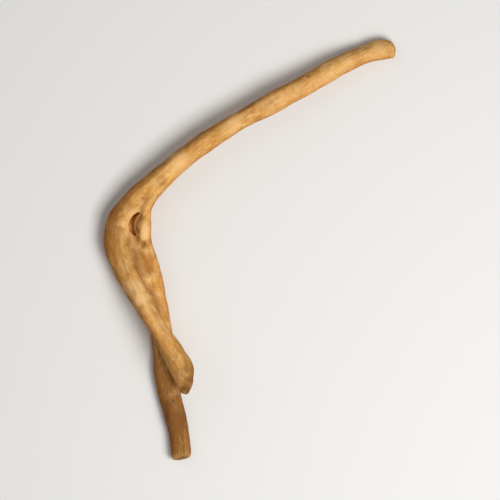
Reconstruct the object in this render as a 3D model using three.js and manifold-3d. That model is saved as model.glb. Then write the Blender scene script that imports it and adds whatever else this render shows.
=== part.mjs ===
// A forked driftwood branch, washed smooth, lying on the ground on three worn places: the cut end
// of its long limb, the underside of its knee and the end of its back limb.
// The wood is one rounded surface round a few centrelines. Its shape is a distance field, drawn as
// even facets, and the wood is then parted at its forks. Millimetres, +Z up, ground at z = 0.
import * as THREE from 'three';
import Module from 'manifold-3d';

const wasm = await Module();
wasm.setup();

// Driving dimensions
const FACET = 2.75; // side of one facet of the surface
const KERF = 0.3; // gap between neighbouring pieces
const SPAN_STEPS = 7; // straight steps between two points of a centreline

// Centrelines, each point being x, y, z and the radius of the wood there
const MAIN_LIMB = [
  [102.0, 134.9, 6.6, 5.2], // beyond the cut end
  [89.3, 134.8, 6.9, 7.0],
  [77.3, 131.4, 8.4, 6.6],
  [59.3, 123.5, 11.5, 6.8],
  [38.9, 112.0, 14.5, 7.0],
  [18.5, 101.0, 16.5, 6.6],
  [-3.1, 88.8, 17.5, 6.1],
  [-24.7, 75.6, 17.5, 6.5],
  [-45.1, 61.4, 16.5, 7.1],
  [-62.5, 46.3, 14.8, 7.5],
  [-75.7, 34.2, 12.6, 8.4],
  [-85.1, 22.0, 10.4, 9.4],
  [-88.1, 8.9, 9.2, 10.1], // knee, on the ground
  [-85.7, -4.9, 10.6, 9.6],
  [-80.4, -18.5, 14.8, 8.4],
  [-73.9, -31.3, 21.2, 7.0], // lower fork
  [-67.0, -43.9, 26.0, 6.4],
  [-59.2, -56.5, 28.8, 6.5],
  [-51.1, -69.1, 30.2, 7.2],
  [-45.6, -79.3, 30.4, 7.7], // club end
  [-43.9, -86.2, 29.3, 6.2],
  [-43.5, -90.6, 27.9, 4.7],
  [-43.5, -93.6, 26.7, 3.0],
];
const SECOND_LIMB = [
  [-59.5, 46.5, 15.2, 3.4], // inside the main limb
  [-66.2, 37.9, 15.4, 4.1],
  [-69.8, 29.3, 15.8, 4.5],
  [-71.0, 19.3, 16.0, 4.9],
  [-71.5, 11.9, 15.6, 5.1],
  [-71.3, 5.5, 14.6, 5.4],
  [-70.3, -1.5, 13.4, 5.9],
  [-68.6, -8.5, 11.9, 6.5],
  [-66.8, -16.5, 10.2, 7.0],
  [-65.2, -24.8, 8.8, 7.1],
  [-63.7, -33.8, 8.0, 7.1],
  [-61.8, -44.3, 7.5, 7.0],
  [-59.8, -55.3, 7.3, 6.9],
  [-58.2, -69.7, 7.1, 6.9],
  [-56.6, -84.1, 7.2, 7.2],
  [-53.8, -98.5, 7.1, 7.1],
  [-50.6, -110.5, 6.8, 7.0],
  [-48.0, -122.5, 6.4, 6.6],
  [-46.5, -134.5, 6.0, 6.4],
  [-45.8, -146.5, 5.8, 6.0], // beyond the worn end
];
const WEB = [
  [-73.6, 28.0, 9.6, 3.6], // under the eye, which it closes below
  [-76.4, 21.5, 8.0, 4.4],
  [-77.8, 14.0, 7.4, 4.8],
  [-77.8, 6.0, 8.6, 5.4],
  [-77.4, -2.0, 10.4, 6.6],
  [-75.4, -12.0, 10.0, 7.2],
  [-72.6, -21.0, 10.6, 6.2],
  [-70.2, -27.5, 12.0, 4.4],
  [-68.6, -32.0, 13.6, 2.6],
];

// Worn ends: a place on the cut, the way it faces and the rounding of its rim
const TIP_CUT = { at: [97.8, 133.0, 7.0], faces: [0.99, -0.05, 0.1], rim: 2.6 };
const TIP_CORNER = { at: [96.3, 140.2, 7.0], faces: [0.66, 0.75, 0.1], rim: 3.5 };
const BACK_CUT = { at: [-46.0, -140.6, 6.0], faces: [0.2, -0.95, 0.25], rim: 2.4 };

// The eye, a crescent-shaped pocket between the knee and the second limb: places along its mouth,
// each with half the width there. It leans in under the knee as it goes down.
const EYE = [
  [-74.2, 24.2, 1.1],
  [-77.0, 21.2, 1.8],
  [-78.3, 17.2, 2.1],
  [-77.6, 13.2, 1.8],
  [-75.6, 10.0, 1.1],
];
const EYE_MOUTH = 16.5; // height at which the places hold
const EYE_LEAN = [-0.2, 0.05]; // sideways for each millimetre down
const EYE_FLOOR = 8.5;
const EYE_FLOOR_BLEND = 2.5;
const EYE_LIP = 1.6;

// How far limbs flow into one another: at the forks, and past the lower fork where they only cross
const FORK_BLEND = 4.8;
const CROSSING_BLEND = 0.8;
const BLEND_FADES = { from: -20.0, to: -34.0 };

// Section of the wood: shallow lobes, each with its count, height, phase and turns per millimetre
const LOBES = [
  { count: 2, height: 0.045, phase: 0.6, turn: 0.011 },
  { count: 3, height: 0.03, phase: 1.9, turn: -0.017 },
  { count: 5, height: 0.014, phase: 4.0, turn: 0.008 },
];
// Swelling along the wood: height as a share of the radius, length and phase
const SWELLS = [
  { height: 0.022, length: 46, phase: 0.8 },
  { height: 0.016, length: 19, phase: 2.4 },
];
// Lumps (raised) and hollows (sunk): place, reach and height
const LUMPS = [
  { at: [12.0, 91.5, 15.0], reach: 8, height: 0.8 }, // swelling on the long limb's lower side
  { at: [60.0, 127.0, 17.0], reach: 7, height: 0.6 },
  { at: [-22.0, 79.0, 23.0], reach: 7, height: -0.5 },
  { at: [-64.0, 38.0, 20.0], reach: 8, height: 0.9 }, // crotch of the upper fork
  { at: [-93.0, -2.0, 16.0], reach: 9, height: 0.8 }, // shoulder of the knee
  { at: [-84.0, 12.0, 19.0], reach: 6, height: -0.7 },
  { at: [-70.5, 14.0, 21.5], reach: 5, height: 0.5 }, // worn boss beside the eye
  { at: [-71.3, 3.8, 20.0], reach: 3.0, height: -1.6 }, // knot hole below it
  { at: [-66.0, -50.0, 30.0], reach: 6, height: -0.5 },
  { at: [-56.0, -96.0, 14.0], reach: 8, height: -0.8 },
  { at: [-52.0, -112.0, 13.0], reach: 6, height: 0.7 },
];

// Where the wood is parted
const EYE_KERF = { at: [-78.4, 19.0, 15.0], turn: -0.66, length: 46, height: 60 };
const FRONT_KERF = { place: 16.3, radius: 9.0 }; // place on the main limb, in centreline points
const BACK_KERF = { place: 11.2, radius: 9.0 }; // place on the second limb

// Colours of the wood
const HONEY = new THREE.Color(0xd9a464);
const TAN = new THREE.Color(0xcb9257);
const AMBER = new THREE.Color(0xc68c50);
const BROWN = new THREE.Color(0xb98650);
const ROUGHNESS = 0.62;

// Samples a centreline: places, radii, lengths and the two directions that angles are counted from
function sampleLimb(points) {
  const line = points.map((p) => new THREE.Vector3(p[0], p[1], p[2]));
  const radii = points.map((p) => new THREE.Vector3(p[3], 0, 0));
  const path = new THREE.CatmullRomCurve3(line, false, 'catmullrom', 0.5);
  const thickness = new THREE.CatmullRomCurve3(radii, false, 'catmullrom', 0.5);
  const steps = (points.length - 1) * SPAN_STEPS;
  const samples = [];
  let length = 0;
  for (let i = 0; i <= steps; i += 1) {
    const at = path.getPoint(i / steps);
    if (i > 0) length += at.distanceTo(samples[i - 1].at);
    samples.push({ at, radius: thickness.getPoint(i / steps).x, length });
  }
  samples.forEach((sample, i) => {
    const before = samples[Math.max(i - 1, 0)].at;
    const after = samples[Math.min(i + 1, steps)].at;
    sample.along = after.clone().sub(before).normalize();
    sample.up = new THREE.Vector3(0, 0, 1).addScaledVector(sample.along, -sample.along.z).normalize();
    sample.side = sample.along.clone().cross(sample.up);
  });
  return samples;
}

// Radius of the wood at a length along a limb and an angle round it
function sectionRadius(radius, length, angle) {
  let scale = 1;
  for (const lobe of LOBES) {
    scale += lobe.height * Math.cos(lobe.count * (angle + lobe.turn * length) + lobe.phase);
  }
  for (const swell of SWELLS) {
    scale += swell.height * Math.sin((2 * Math.PI * length) / swell.length + swell.phase);
  }
  return radius * scale;
}

// Distance from the surface of one limb, negative inside the wood
function limbDistance(samples, p) {
  let nearest = Infinity;
  let index = 0;
  let share = 0;
  for (let i = 0; i < samples.length - 1; i += 1) {
    const a = samples[i].at;
    const b = samples[i + 1].at;
    const [ux, uy, uz] = [b.x - a.x, b.y - a.y, b.z - a.z];
    const [vx, vy, vz] = [p.x - a.x, p.y - a.y, p.z - a.z];
    const t = Math.min(Math.max((ux * vx + uy * vy + uz * vz) / (ux * ux + uy * uy + uz * uz), 0), 1);
    const far = (vx - t * ux) ** 2 + (vy - t * uy) ** 2 + (vz - t * uz) ** 2;
    if (far < nearest) {
      nearest = far;
      index = i;
      share = t;
    }
  }
  const a = samples[index];
  const b = samples[index + 1];
  const out = p.clone().sub(a.at).addScaledVector(b.at.clone().sub(a.at), -share);
  const up = a.up.clone().lerp(b.up, share);
  const side = a.side.clone().lerp(b.side, share);
  const radius = THREE.MathUtils.lerp(a.radius, b.radius, share);
  const length = THREE.MathUtils.lerp(a.length, b.length, share);
  const angle = Math.atan2(out.dot(side), out.dot(up));
  return Math.sqrt(nearest) - sectionRadius(radius, length, angle);
}

// Union and intersection with a rounded seam
function smoothUnion(a, b, blend) {
  const near = Math.max(blend - Math.abs(a - b), 0) / blend;
  return Math.min(a, b) - (near * near * blend) / 4;
}

function smoothIntersection(a, b, blend) {
  return -smoothUnion(-a, -b, blend);
}

function cutDistance(cut, p) {
  const faces = new THREE.Vector3(...cut.faces).normalize();
  return p.clone().sub(new THREE.Vector3(...cut.at)).dot(faces);
}

// Distance from the walls and floor of the leaning pocket, positive inside it
function eyeDistance(p) {
  const drop = EYE_MOUTH - p.z;
  const [x, y] = [p.x - EYE_LEAN[0] * drop, p.y - EYE_LEAN[1] * drop];
  let walls = -Infinity;
  for (let i = 0; i < EYE.length - 1; i += 1) {
    const [ax, ay, aHalf] = EYE[i];
    const [ux, uy] = [EYE[i + 1][0] - ax, EYE[i + 1][1] - ay];
    const [vx, vy] = [x - ax, y - ay];
    const t = Math.min(Math.max((ux * vx + uy * vy) / (ux * ux + uy * uy), 0), 1);
    const half = THREE.MathUtils.lerp(aHalf, EYE[i + 1][2], t);
    walls = Math.max(walls, half - Math.hypot(vx - t * ux, vy - t * uy));
  }
  return smoothUnion(walls, p.z - EYE_FLOOR, EYE_FLOOR_BLEND);
}

const mainSamples = sampleLimb(MAIN_LIMB);
const secondSamples = sampleLimb(SECOND_LIMB);
const webSamples = sampleLimb(WEB);

// Distance from the surface of the whole branch, negative inside the wood
function branchDistance(p) {
  let main = smoothIntersection(limbDistance(mainSamples, p), cutDistance(TIP_CUT, p), TIP_CUT.rim);
  main = smoothIntersection(main, cutDistance(TIP_CORNER, p), TIP_CORNER.rim);
  const second = smoothIntersection(limbDistance(secondSamples, p), cutDistance(BACK_CUT, p), BACK_CUT.rim);
  const fade = THREE.MathUtils.smoothstep(p.y, BLEND_FADES.to, BLEND_FADES.from);
  const blend = THREE.MathUtils.lerp(CROSSING_BLEND, FORK_BLEND, fade);
  let distance = smoothUnion(main, second, blend);
  distance = smoothUnion(distance, limbDistance(webSamples, p), blend);
  for (const lump of LUMPS) {
    const far = (p.x - lump.at[0]) ** 2 + (p.y - lump.at[1]) ** 2 + (p.z - lump.at[2]) ** 2;
    distance -= lump.height * Math.exp(-far / lump.reach ** 2);
  }
  return smoothIntersection(distance, eyeDistance(p), EYE_LIP);
}

// Steepest way out of the wood, and a step along it to the surface
const SLOPE_STEP = 0.15;
const LEAST_SLOPE = 0.25;
function surfaceSlope(p) {
  const slope = new THREE.Vector3();
  for (const axis of ['x', 'y', 'z']) {
    const ahead = p.clone();
    const behind = p.clone();
    ahead[axis] += SLOPE_STEP;
    behind[axis] -= SLOPE_STEP;
    slope[axis] = (branchDistance(ahead) - branchDistance(behind)) / (2 * SLOPE_STEP);
  }
  return slope;
}

function pullToSurface(p) {
  const slope = surfaceSlope(p);
  const step = -branchDistance(p) / Math.max(slope.lengthSq(), LEAST_SLOPE);
  p.addScaledVector(slope, THREE.MathUtils.clamp(step, -FACET / 2, FACET / 2));
}

// Distances at the corners of a grid of cells round the branch
const GRID_MARGIN = 6;
function fillGrid() {
  const box = new THREE.Box3();
  for (const sample of [...mainSamples, ...secondSamples]) {
    const reach = sample.radius + GRID_MARGIN;
    box.expandByPoint(sample.at.clone().addScalar(reach));
    box.expandByPoint(sample.at.clone().subScalar(reach));
  }
  const size = box.getSize(new THREE.Vector3());
  const counts = size.toArray().map((side) => Math.ceil(side / FACET) + 1);
  const values = new Float64Array(counts[0] * counts[1] * counts[2]);
  const grid = { start: box.min, counts, values };
  const p = new THREE.Vector3();
  for (let k = 0; k < counts[2]; k += 1) {
    for (let j = 0; j < counts[1]; j += 1) {
      for (let i = 0; i < counts[0]; i += 1) {
        p.set(i, j, k).multiplyScalar(FACET).add(box.min);
        values[cornerIndex(grid, i, j, k)] = branchDistance(p);
      }
    }
  }
  return grid;
}

function cornerIndex(grid, i, j, k) {
  return i + grid.counts[0] * (j + grid.counts[1] * k);
}

// The eight corners of a cell, and the pairs of corners that its edges join
const CORNERS = [];
for (let c = 0; c < 8; c += 1) CORNERS.push([c & 1, (c >> 1) & 1, (c >> 2) & 1]);
const EDGES = [];
for (let c = 0; c < 8; c += 1) {
  for (const bit of [1, 2, 4]) {
    if ((c & bit) === 0) EDGES.push([c, c | bit]);
  }
}

function cellCorners(grid, i, j, k) {
  return CORNERS.map(([di, dj, dk]) => cornerIndex(grid, i + di, j + dj, k + dk));
}

// Corners on one side of the surface that hang together along the cell's edges
function groupCount(inside, side) {
  const group = inside.map((value, c) => (value === side ? c : -1));
  for (let pass = 0; pass < 8; pass += 1) {
    for (const [a, b] of EDGES) {
      if (group[a] >= 0 && group[b] >= 0) group[a] = group[b] = Math.min(group[a], group[b]);
    }
  }
  return new Set(group.filter((value) => value >= 0)).size;
}

function hasCheckeredFace(inside) {
  for (const [across, down] of [[1, 2], [1, 4], [2, 4]]) {
    for (let c = 0; c < 8; c += 1) {
      if (c & (across | down)) continue;
      const same = inside[c] === inside[c | across | down];
      if (same && inside[c | across] === inside[c | down] && inside[c] !== inside[c | across]) return true;
    }
  }
  return false;
}

// Clears or fills the nearest corner of each cell that the surface would cross twice, so that it
// stays a simple skin. After a few passes corners are only filled, so that it comes to an end.
const FREE_PASSES = 6;
const SETTLED = 0.02;
function settleGrid(grid) {
  const [ni, nj, nk] = grid.counts;
  let changed = true;
  for (let pass = 0; changed; pass += 1) {
    changed = false;
    for (let k = 0; k < nk - 1; k += 1) {
      for (let j = 0; j < nj - 1; j += 1) {
        for (let i = 0; i < ni - 1; i += 1) {
          const corners = cellCorners(grid, i, j, k);
          const inside = corners.map((corner) => grid.values[corner] < 0);
          if (inside.every((value) => value === inside[0])) continue;
          const twice = groupCount(inside, true) > 1 || groupCount(inside, false) > 1;
          if (!twice && !hasCheckeredFace(inside)) continue;
          const outside = corners.filter((corner) => grid.values[corner] >= 0);
          const doubtful = pass < FREE_PASSES ? corners : outside;
          doubtful.sort((a, b) => Math.abs(grid.values[a]) - Math.abs(grid.values[b]));
          grid.values[doubtful[0]] = grid.values[doubtful[0]] < 0 ? SETTLED : -SETTLED;
          changed = true;
        }
      }
    }
  }
}

// One point in each cell that the surface crosses, and a square facet across each crossed edge
function drawSurface(grid) {
  const [ni, nj, nk] = grid.counts;
  const points = [];
  const pointOfCell = new Map();
  for (let k = 0; k < nk - 1; k += 1) {
    for (let j = 0; j < nj - 1; j += 1) {
      for (let i = 0; i < ni - 1; i += 1) {
        const values = cellCorners(grid, i, j, k).map((corner) => grid.values[corner]);
        const centre = new THREE.Vector3();
        let crossings = 0;
        for (const [a, b] of EDGES) {
          if (values[a] < 0 === values[b] < 0) continue;
          const share = values[a] / (values[a] - values[b]);
          const from = new THREE.Vector3(...CORNERS[a]);
          centre.add(from.lerp(new THREE.Vector3(...CORNERS[b]), share));
          crossings += 1;
        }
        if (crossings === 0) continue;
        centre.divideScalar(crossings).add(new THREE.Vector3(i, j, k));
        pointOfCell.set(cornerIndex(grid, i, j, k), points.length);
        points.push(centre.multiplyScalar(FACET).add(grid.start));
      }
    }
  }
  const squares = [];
  const steps = [1, ni, ni * nj];
  for (let k = 1; k < nk - 1; k += 1) {
    for (let j = 1; j < nj - 1; j += 1) {
      for (let i = 1; i < ni - 1; i += 1) {
        const here = cornerIndex(grid, i, j, k);
        for (let axis = 0; axis < 3; axis += 1) {
          const inside = grid.values[here] < 0;
          if (inside === grid.values[here + steps[axis]] < 0) continue;
          const u = steps[(axis + 1) % 3];
          const v = steps[(axis + 2) % 3];
          const around = [here, here - u, here - u - v, here - v].map((cell) => pointOfCell.get(cell));
          squares.push(inside ? around : around.reverse());
        }
      }
    }
  }
  return { points, squares };
}

// Evens the points out along the surface
const EVENING_PASSES = 10;
const EVENING_SHARE = 0.6;
function evenOut(surface) {
  const { points, squares } = surface;
  for (let pass = 0; pass < EVENING_PASSES; pass += 1) {
    const sums = points.map(() => new THREE.Vector3());
    const counts = points.map(() => 0);
    for (const square of squares) {
      square.forEach((point, corner) => {
        sums[point].add(points[square[(corner + 1) % 4]]).add(points[square[(corner + 3) % 4]]);
        counts[point] += 2;
      });
    }
    points.forEach((point, index) => {
      point.lerp(sums[index].divideScalar(counts[index]), EVENING_SHARE);
      pullToSurface(point);
      pullToSurface(point);
    });
  }
}

// Parts each square along the diagonal that keeps closer to the surface
function toTriangles({ points, squares }) {
  const strayOf = (a, b) => Math.abs(branchDistance(points[a].clone().lerp(points[b], 0.5)));
  const triangles = [];
  for (const [a, b, c, d] of squares) {
    if (strayOf(a, c) <= strayOf(b, d)) triangles.push(a, b, c, a, c, d);
    else triangles.push(a, b, d, b, c, d);
  }
  return triangles;
}

function toSolid(points, triangles) {
  const vertProperties = new Float32Array(points.flatMap((point) => point.toArray()));
  const triVerts = new Uint32Array(triangles);
  return new wasm.Manifold(new wasm.Mesh({ numProp: 3, vertProperties, triVerts }));
}

// A three.js geometry as a solid, its corners merged by place
function geometryToSolid(geometry, matrix) {
  const position = geometry.attributes.position;
  const order = geometry.index.array;
  const places = new Map();
  const points = [];
  const merged = [];
  for (let i = 0; i < position.count; i += 1) {
    const point = new THREE.Vector3().fromBufferAttribute(position, i).applyMatrix4(matrix);
    const key = point.toArray().map((value) => value.toFixed(4)).join(' ');
    if (!places.has(key)) {
      places.set(key, points.length);
      points.push(point);
    }
    merged.push(places.get(key));
  }
  const triangles = [];
  for (let i = 0; i < order.length; i += 3) {
    const corners = [merged[order[i]], merged[order[i + 1]], merged[order[i + 2]]];
    if (new Set(corners).size === 3) triangles.push(...corners);
  }
  return toSolid(points, triangles);
}

// What lies under the ground is worn away
const GROUND_SIZE = 600;
function ground() {
  const matrix = new THREE.Matrix4().makeTranslation(0, 0, -GROUND_SIZE / 2);
  return geometryToSolid(new THREE.BoxGeometry(GROUND_SIZE, GROUND_SIZE, GROUND_SIZE), matrix);
}

function eyeKerf() {
  const matrix = new THREE.Matrix4().makeRotationZ(EYE_KERF.turn).setPosition(...EYE_KERF.at);
  return geometryToSolid(new THREE.BoxGeometry(EYE_KERF.length, KERF, EYE_KERF.height), matrix);
}

// A thin disc across a limb at a place counted in centreline points
const DISC_SIDES = 32;
function limbKerf(kerf, samples) {
  const sample = samples[Math.round(kerf.place * SPAN_STEPS)];
  const turn = new THREE.Quaternion().setFromUnitVectors(new THREE.Vector3(0, 1, 0), sample.along);
  const matrix = new THREE.Matrix4().compose(sample.at, turn, new THREE.Vector3(1, 1, 1));
  return geometryToSolid(new THREE.CylinderGeometry(kerf.radius, kerf.radius, KERF, DISC_SIDES), matrix);
}

// The whole branch on the ground, then parted
const grid = fillGrid();
settleGrid(grid);
const surface = drawSurface(grid);
evenOut(surface);
const wood = toSolid(surface.points, toTriangles(surface)).subtract(ground());
const parted = wood
  .subtract(eyeKerf())
  .subtract(limbKerf(FRONT_KERF, mainSamples))
  .subtract(limbKerf(BACK_KERF, secondSamples));

function solidToGeometry(solid, anchor) {
  const mesh = solid.getMesh();
  const geometry = new THREE.BufferGeometry();
  geometry.setAttribute('position', new THREE.BufferAttribute(new Float32Array(mesh.vertProperties), 3));
  geometry.setIndex(new THREE.BufferAttribute(new Uint32Array(mesh.triVerts), 1));
  geometry.translate(-anchor.x, -anchor.y, -anchor.z);
  geometry.computeVertexNormals();
  return geometry;
}

// Pieces, each known by a centreline point inside it, which is where its own origin is
const PIECES = [
  { name: 'upper_limb', anchor: mainSamples[5 * SPAN_STEPS].at, colour: HONEY },
  { name: 'stem', anchor: mainSamples[12 * SPAN_STEPS].at, colour: TAN },
  { name: 'front_limb', anchor: mainSamples[18 * SPAN_STEPS].at, colour: AMBER },
  { name: 'back_limb', anchor: secondSamples[15 * SPAN_STEPS].at, colour: BROWN },
];
const PROBE_SIZE = 1;

const branch = new THREE.Group();
const bodies = parted.decompose();
for (const piece of PIECES) {
  const matrix = new THREE.Matrix4().setPosition(piece.anchor);
  const probe = geometryToSolid(new THREE.BoxGeometry(PROBE_SIZE, PROBE_SIZE, PROBE_SIZE), matrix);
  const body = bodies.find((candidate) => candidate.intersect(probe).numTri() > 0);
  const looks = { color: piece.colour, roughness: ROUGHNESS, metalness: 0 };
  const material = new THREE.MeshStandardMaterial(looks);
  const mesh = new THREE.Mesh(solidToGeometry(body, piece.anchor), material);
  mesh.name = piece.name;
  mesh.position.copy(piece.anchor);
  branch.add(mesh);
}

export default branch;
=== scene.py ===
"""A forked driftwood branch, worn smooth, lying on a pale floor and seen from above.

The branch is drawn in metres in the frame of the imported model: +Z up from the floor, +Y along the
branch. Places and lengths in the tables are millimetres. The wood is drawn as one skin round two
grown limbs, given its grain, knots and checks as real relief, and then parted at the forks into
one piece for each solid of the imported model.
"""

import math

import bmesh
import bpy
import numpy as np
from bpy.props import FloatProperty, FloatVectorProperty, PointerProperty
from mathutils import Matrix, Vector


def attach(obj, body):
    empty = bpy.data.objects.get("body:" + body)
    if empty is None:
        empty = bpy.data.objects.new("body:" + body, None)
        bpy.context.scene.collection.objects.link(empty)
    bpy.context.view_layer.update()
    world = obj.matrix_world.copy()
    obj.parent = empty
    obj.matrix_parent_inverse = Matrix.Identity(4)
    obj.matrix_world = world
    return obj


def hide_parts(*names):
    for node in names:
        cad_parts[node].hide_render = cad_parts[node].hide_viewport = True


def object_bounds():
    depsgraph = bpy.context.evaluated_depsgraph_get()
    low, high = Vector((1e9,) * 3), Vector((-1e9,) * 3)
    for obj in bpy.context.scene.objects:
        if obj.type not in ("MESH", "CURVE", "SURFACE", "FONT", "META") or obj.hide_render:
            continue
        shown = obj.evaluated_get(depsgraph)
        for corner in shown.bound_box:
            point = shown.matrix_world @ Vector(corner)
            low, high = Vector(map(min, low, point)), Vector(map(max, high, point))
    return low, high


bl_info = {
    "name": "Driftwood branch",
    "version": (1, 0, 0),
    "blender": (4, 5, 0),
    "location": "3D View > Sidebar > Driftwood",
    "description": "Dresses the packed solids of a forked driftwood branch and lights it on a pale floor",
    "category": "Add Mesh",
}

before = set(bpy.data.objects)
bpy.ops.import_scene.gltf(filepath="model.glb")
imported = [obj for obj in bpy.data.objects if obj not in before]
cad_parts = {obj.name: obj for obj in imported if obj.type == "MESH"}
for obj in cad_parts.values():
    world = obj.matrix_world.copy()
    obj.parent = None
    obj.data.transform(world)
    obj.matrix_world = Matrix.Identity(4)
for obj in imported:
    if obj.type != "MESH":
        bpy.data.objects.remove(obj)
CAD_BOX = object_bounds()
MM = 0.001

# Centre of the main limb from its cut end, round the knee, to the club end: x, y, z, radius
MAIN_LIMB = (
    (102, 134.9, 6.6, 5.2),  # beyond the cut end
    (89.3, 134.8, 6.9, 7), (77.3, 131.4, 8.4, 6.6), (59.3, 123.5, 11.5, 6.8),
    (38.9, 112, 14.5, 7), (18.5, 101, 16.5, 6.6), (-3.1, 88.8, 17.5, 6.1),
    (-24.7, 75.6, 17.5, 6.5), (-45.1, 61.4, 16.5, 7.1), (-62.5, 46.3, 14.8, 7.5),
    (-75.7, 34.2, 12.6, 8.4), (-85.1, 22, 10.4, 9.4),
    (-88.1, 8.9, 9.2, 10.1),  # knee, on the ground
    (-85.7, -4.9, 10.6, 9.6), (-80.4, -18.5, 14.8, 8.4),
    (-73.9, -31.3, 21.2, 7),  # lower fork
    (-67, -43.9, 26, 6.4), (-59.2, -56.5, 28.8, 6.5), (-51.1, -69.1, 30.2, 7.2),
    (-45.6, -79.3, 30.4, 7.7),  # club end
    (-43.9, -86.2, 29.3, 6.3), (-43.5, -90.3, 28, 5.1), (-43.6, -92.9, 27, 3.7),
)

# Centre of the second limb from the upper fork, under the front limb, to its worn end
SECOND_LIMB = (
    (-59.5, 46.5, 15.2, 3.4),  # inside the main limb
    (-66.2, 37.9, 15.4, 4.1), (-69.8, 29.3, 15.8, 4.5), (-71, 19.3, 16, 4.9),
    (-71.5, 11.9, 15.6, 5.1), (-71.3, 5.5, 14.6, 5.4), (-70.3, -1.5, 13.4, 5.9),
    (-68.6, -8.5, 11.9, 6.5), (-66.8, -16.5, 10.2, 7), (-65.2, -24.8, 8.8, 7.1),
    (-63.7, -33.8, 8, 7.1), (-61.8, -44.3, 7.5, 7), (-59.8, -55.3, 7.3, 6.9),
    (-58.2, -69.7, 7.1, 6.9), (-56.6, -84.1, 7.2, 7.2), (-53.8, -98.5, 7.1, 7.1),
    (-50.6, -110.5, 6.8, 7), (-48, -122.5, 6.4, 6.6), (-46.5, -134.5, 6, 6.4),
    (-45.8, -146.5, 5.8, 6),  # beyond the worn end
)

# Fused wood that fills the space between the knee and the second limb
WEB = (
    (-73.6, 28, 9.6, 3.6),  # under the eye, which it closes below
    (-76.4, 21.5, 8, 4.4), (-77.8, 14, 7.4, 4.8), (-77.8, 6, 8.6, 5.4),
    (-77.4, -2, 10.4, 6.6), (-75.4, -12, 10, 7.2), (-72.6, -21, 10.6, 6.2),
    (-70.2, -27.5, 12, 4.4), (-68.6, -32, 13.6, 2.6),
)
SPAN_STEPS = 7

# Worn ends: a point on the end face, the way it faces and the roundness of its rim
TIP_CUT = ((97.8, 133.0, 7.0), (0.99, -0.05, 0.1), 2.6)
TIP_CORNER = ((96.3, 140.2, 7.0), (0.66, 0.75, 0.1), 3.5)
BACK_CUT = ((-46.0, -140.6, 6.0), (0.2, -0.95, 0.25), 2.4)

# The eye, a crescent-shaped pocket between the knee and the second limb: places along its mouth,
# each with half the width there. It leans in under the knee as it goes down.
EYE = (
    (-74.9, 24.8, 0.5),
    (-77.4, 22.7, 1.1),
    (-79, 20, 1.6),
    (-79.6, 17, 1.9),
    (-79.1, 14.1, 1.7),
    (-77.9, 11.7, 1.2),
    (-76.4, 9.8, 0.5),
)
EYE_MOUTH = 16.5 * MM  # height of the mouth above the floor
EYE_FLOOR = 8.5 * MM  # height of the pocket's floor
EYE_FLOOR_BLEND = 2.5 * MM
EYE_LIP = 0.7 * MM
EYE_LEAN = (-0.2, 0.05)

# How softly the limbs grow into each other, fading out below the lower fork
FORK_BLEND = 4.8 * MM
CROSSING_BLEND = 0.8 * MM
BLEND_FADES = (-34 * MM, -20 * MM)

# Unevenness of a limb's section, as shares of its radius. Round it: count, height, phase, turn to
# the metre. Along it: height, wave, phase.
LOBES = ((2, 0.045, 0.6, 11.0), (3, 0.030, 1.9, -17.0), (5, 0.014, 4.0, 8.0))
SWELLS = ((0.022, 46, 0.8), (0.016, 19, 2.4))

# Bosses and hollows: centre, reach, height
LUMPS = (
    (12, 91.5, 15, 8, 0.8),
    (60, 127, 17, 7, 0.6),
    (-22, 79, 23, 7, -0.5),
    (-64, 38, 20, 8, 0.9),  # crotch of the upper fork
    (-93, -2, 16, 9, 0.8),  # shoulder of the knee
    (-84, 12, 19, 6, -0.7),
    (-70, 13, 21.5, 5, 0.6),  # worn boss beside the eye
    (-71.3, 3.8, 20, 3, -1.6),  # knot hole below the eye
    (-66, -50, 30, 6, -0.5),
    (-56, -96, 14, 8, -0.8),
    (-52, -112, 13, 6, 0.7),
)

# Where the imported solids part: a point on the plane at the eye, its normal and its reach, and how
# many rows along the two limbs they are cut square across
EYE_PART = ((-78.4, 19.0, 15.0), (0.613, 0.790, 0.0), 30)
FRONT_PART_ROW = 16.3
BACK_PART_ROW = 11.2
LIMB_PART_REACH = 9 * MM


class Limb:
    """Even samples along a centreline, with the directions up and sideways across it."""

    def __init__(self, rows):
        rows = np.array(rows) * MM
        padded = np.vstack([2 * rows[0] - rows[1], rows, 2 * rows[-1] - rows[-2]])
        t = (np.arange(SPAN_STEPS) / SPAN_STEPS)[:, None]
        spans = []
        for a, b, c, d in zip(padded, padded[1:], padded[2:], padded[3:]):
            bend = (2 * a - 5 * b + 4 * c - d) * t**2 + (3 * b - a - 3 * c + d) * t**3
            spans.append(b + 0.5 * ((c - a) * t + bend))
        samples = np.vstack(spans + [rows[-1:]])
        self.at = samples[:, :3]
        self.radius = samples[:, 3]
        self.span = np.diff(self.at, axis=0)
        self.span_square = (self.span**2).sum(1)
        self.length = np.concatenate([[0.0], np.cumsum(np.sqrt(self.span_square))])
        ahead = np.vstack([self.at[1:], self.at[-1:]])
        behind = np.vstack([self.at[:1], self.at[:-1]])
        self.along = unit(ahead - behind)
        self.up = unit(np.array([0.0, 0.0, 1.0]) - self.along * self.along[:, 2:])
        self.side = np.cross(self.along, self.up)
        self.grain_shift = np.zeros((len(self.at), 3))


def unit(rows):
    return rows / np.maximum(np.linalg.norm(rows, axis=-1, keepdims=True), 1e-12)


def smoothstep(low, high, x):
    t = np.clip((x - low) / (high - low), 0.0, 1.0)
    return t * t * (3 - 2 * t)


def dot(a, b):
    return np.einsum("ij,ij->i", a, b)


def span_gap(limb, p, i):
    """Share along span i at the point of it nearest to p, the way out from there and its square."""
    off = p - limb.at[i]
    span = limb.span[i]
    along = off @ span if np.ndim(i) == 0 else dot(off, span)
    t = np.clip(along / limb.span_square[i], 0.0, 1.0)
    out = off - t[:, None] * span
    return t, out, dot(out, out)


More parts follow.
